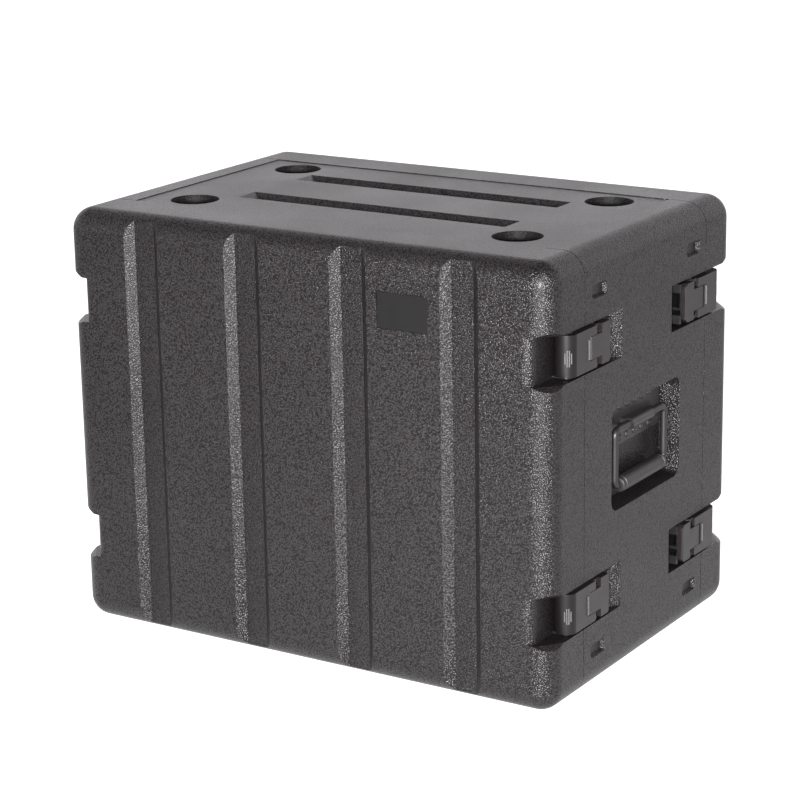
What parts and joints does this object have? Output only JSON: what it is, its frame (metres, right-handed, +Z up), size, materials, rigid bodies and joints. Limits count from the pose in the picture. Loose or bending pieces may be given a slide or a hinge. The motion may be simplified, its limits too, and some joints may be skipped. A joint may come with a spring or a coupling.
{
  "type": "equipment rack case",
  "caption": "Black moulded rack case with lift-off front and rear lids, trigger latches, folding side handles and tapped rack rails inside.",
  "frame": {"origin": "on the floor under the middle of the case, at the bottom of the rubber feet", "axes": "+X to the right across the long side, +Y from the front lid to the rear lid, +Z up"},
  "size_m": [0.615, 0.42, 0.482],
  "materials": {
    "grained_polyethylene": "fine pebble grain, semi-matte",
    "latch_nylon": "satin moulded",
    "smooth_plastic": "smooth matte",
    "black_rubber": "matte",
    "grip_rubber": "satin",
    "black_rail_steel": "black electrocoat",
    "black_plate_steel": "black powder coat",
    "bail_steel": "black satin",
    "black_rivets": "black zinc",
    "zinc_steel": "zinc plated",
    "pin_steel": "ground",
    "brass": "turned"
  },
  "bodies": {
    "case": {"body_shell": "grained_polyethylene", "rail_front_left": "black_rail_steel", "rail_front_right": "black_rail_steel", "rail_rear_left": "black_rail_steel", "rail_rear_right": "black_rail_steel", "rail_bolts": "zinc_steel", "rail_inserts": "brass", "latch_keepers": "latch_nylon", "strike_pins": "pin_steel", "keeper_rivets": "zinc_steel", "handle_plate_right": "black_plate_steel", "handle_plate_left": "black_plate_steel", "handle_rivets": "black_rivets", "feet": "black_rubber", "foot_screws": "zinc_steel"},
    "front_cover": {"front_lid": "grained_polyethylene", "front_gasket": "black_rubber", "label_plate": "smooth_plastic", "brackets_front": "latch_nylon", "hinge_pins_front": "pin_steel", "bracket_rivets_front": "zinc_steel"},
    "rear_cover": {"rear_lid": "grained_polyethylene", "rear_gasket": "black_rubber", "brackets_rear": "latch_nylon", "hinge_pins_rear": "pin_steel", "bracket_rivets_rear": "zinc_steel"},
    "handle_right": {"bail_right": "bail_steel", "grip_right": "grip_rubber"},
    "handle_left": {"bail_left": "bail_steel", "grip_left": "grip_rubber"},
    "lever_body_fr_low": {"lever_fr_low": "latch_nylon"},
    "trigger_body_fr_low": {"trigger_fr_low": "latch_nylon"},
    "lever_body_fr_high": {"lever_fr_high": "latch_nylon"},
    "trigger_body_fr_high": {"trigger_fr_high": "latch_nylon"},
    "lever_body_fl_low": {"lever_fl_low": "latch_nylon"},
    "trigger_body_fl_low": {"trigger_fl_low": "latch_nylon"},
    "lever_body_fl_high": {"lever_fl_high": "latch_nylon"},
    "trigger_body_fl_high": {"trigger_fl_high": "latch_nylon"},
    "lever_body_rr_low": {"lever_rr_low": "latch_nylon"},
    "trigger_body_rr_low": {"trigger_rr_low": "latch_nylon"},
    "lever_body_rr_high": {"lever_rr_high": "latch_nylon"},
    "trigger_body_rr_high": {"trigger_rr_high": "latch_nylon"},
    "lever_body_rl_low": {"lever_rl_low": "latch_nylon"},
    "trigger_body_rl_low": {"trigger_rl_low": "latch_nylon"},
    "lever_body_rl_high": {"lever_rl_high": "latch_nylon"},
    "trigger_body_rl_high": {"trigger_rl_high": "latch_nylon"}
  },
  "joints": [
    {"name": "front_cover_lift_off", "type": "slide", "parent": "case", "child": "front_cover", "axis": [0, -1, 0], "range_m": [0, 0.25]},
    {"name": "rear_cover_lift_off", "type": "slide", "parent": "case", "child": "rear_cover", "axis": [0, 1, 0], "range_m": [0, 0.25]},
    {"name": "handle_right_swing", "type": "hinge", "parent": "case", "child": "handle_right", "pos_m": [0.297, 0, 0.274], "axis": [0, -1, 0], "range_deg": [0, 90]},
    {"name": "handle_left_swing", "type": "hinge", "parent": "case", "child": "handle_left", "pos_m": [-0.297, 0, 0.274], "axis": [0, 1, 0], "range_deg": [0, 90]},
    {"name": "latch_fr_low_swing", "type": "hinge", "parent": "front_cover", "child": "lever_body_fr_low", "pos_m": [0.2955, -0.16, 0.107], "axis": [0, 0, -1], "range_deg": [0, 105]},
    {"name": "trigger_fr_low_pull", "type": "hinge", "parent": "lever_body_fr_low", "child": "trigger_body_fr_low", "pos_m": [0.2995, -0.1125, 0.107], "axis": [0, 0, -1], "range_deg": [0, 18], "stiffness_Nm_per_rad": 0.1},
    {"name": "latch_fr_high_swing", "type": "hinge", "parent": "front_cover", "child": "lever_body_fr_high", "pos_m": [0.2955, -0.16, 0.381], "axis": [0, 0, -1], "range_deg": [0, 105]},
    {"name": "trigger_fr_high_pull", "type": "hinge", "parent": "lever_body_fr_high", "child": "trigger_body_fr_high", "pos_m": [0.2995, -0.1125, 0.381], "axis": [0, 0, -1], "range_deg": [0, 18], "stiffness_Nm_per_rad": 0.1},
    {"name": "latch_fl_low_swing", "type": "hinge", "parent": "front_cover", "child": "lever_body_fl_low", "pos_m": [-0.2955, -0.16, 0.107], "axis": [0, 0, 1], "range_deg": [0, 105]},
    {"name": "trigger_fl_low_pull", "type": "hinge", "parent": "lever_body_fl_low", "child": "trigger_body_fl_low", "pos_m": [-0.2995, -0.1125, 0.107], "axis": [0, 0, 1], "range_deg": [0, 18], "stiffness_Nm_per_rad": 0.1},
    {"name": "latch_fl_high_swing", "type": "hinge", "parent": "front_cover", "child": "lever_body_fl_high", "pos_m": [-0.2955, -0.16, 0.381], "axis": [0, 0, 1], "range_deg": [0, 105]},
    {"name": "trigger_fl_high_pull", "type": "hinge", "parent": "lever_body_fl_high", "child": "trigger_body_fl_high", "pos_m": [-0.2995, -0.1125, 0.381], "axis": [0, 0, 1], "range_deg": [0, 18], "stiffness_Nm_per_rad": 0.1},
    {"name": "latch_rr_low_swing", "type": "hinge", "parent": "rear_cover", "child": "lever_body_rr_low", "pos_m": [0.2955, 0.16, 0.107], "axis": [0, 0, 1], "range_deg": [0, 105]},
    {"name": "trigger_rr_low_pull", "type": "hinge", "parent": "lever_body_rr_low", "child": "trigger_body_rr_low", "pos_m": [0.2995, 0.1125, 0.107], "axis": [0, 0, 1], "range_deg": [0, 18], "stiffness_Nm_per_rad": 0.1},
    {"name": "latch_rr_high_swing", "type": "hinge", "parent": "rear_cover", "child": "lever_body_rr_high", "pos_m": [0.2955, 0.16, 0.381], "axis": [0, 0, 1], "range_deg": [0, 105]},
    {"name": "trigger_rr_high_pull", "type": "hinge", "parent": "lever_body_rr_high", "child": "trigger_body_rr_high", "pos_m": [0.2995, 0.1125, 0.381], "axis": [0, 0, 1], "range_deg": [0, 18], "stiffness_Nm_per_rad": 0.1},
    {"name": "latch_rl_low_swing", "type": "hinge", "parent": "rear_cover", "child": "lever_body_rl_low", "pos_m": [-0.2955, 0.16, 0.107], "axis": [0, 0, -1], "range_deg": [0, 105]},
    {"name": "trigger_rl_low_pull", "type": "hinge", "parent": "lever_body_rl_low", "child": "trigger_body_rl_low", "pos_m": [-0.2995, 0.1125, 0.107], "axis": [0, 0, -1], "range_deg": [0, 18], "stiffness_Nm_per_rad": 0.1},
    {"name": "latch_rl_high_swing", "type": "hinge", "parent": "rear_cover", "child": "lever_body_rl_high", "pos_m": [-0.2955, 0.16, 0.381], "axis": [0, 0, -1], "range_deg": [0, 105]},
    {"name": "trigger_rl_high_pull", "type": "hinge", "parent": "lever_body_rl_high", "child": "trigger_body_rl_high", "pos_m": [-0.2995, 0.1125, 0.381], "axis": [0, 0, -1], "range_deg": [0, 18], "stiffness_Nm_per_rad": 0.1}
  ]
}
